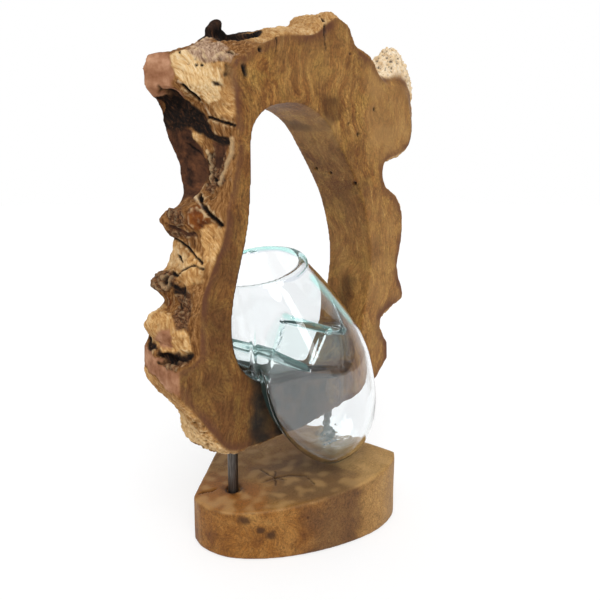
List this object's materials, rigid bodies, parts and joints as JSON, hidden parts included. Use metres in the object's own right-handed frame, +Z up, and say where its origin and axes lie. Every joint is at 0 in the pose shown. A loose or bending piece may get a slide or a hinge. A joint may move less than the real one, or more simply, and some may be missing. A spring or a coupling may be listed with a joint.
{
  "type": "hanging glass vase",
  "caption": "Clear blown-glass vase that hangs over the sill of a window in an upright live-edge root slab, held on steel rods above a wooden plinth.",
  "frame": {"origin": "on the plinth's underside, below the middle between the slab's two faces", "axes": "+Z up; +X along the slab from the near rod to the far rod; -Y is the way that the slab's smooth front face and the glass lobe look"},
  "size_m": [0.3433, 0.176, 0.5094],
  "materials": {
    "plinth_wood": "sanded and oiled, worn along the edges",
    "root_wood": "sanded and oiled faces, natural bark edge, charred beside the glass",
    "rod_steel": "dark mill finish",
    "clear_glass": "fire-polished, faint blue-green in the thick places"
  },
  "bodies": {
    "stand": {"base_plinth": "plinth_wood", "rod_left": "rod_steel", "rod_right": "rod_steel", "wood_frame": "root_wood"},
    "vase": {"glass_vase": "clear_glass"}
  },
  "joints": [
    {"name": "vase_lift_out", "type": "slide", "parent": "stand", "child": "vase", "axis": [0, -0.9962, 0.0872], "range_m": [0, 0.2]}
  ]
}
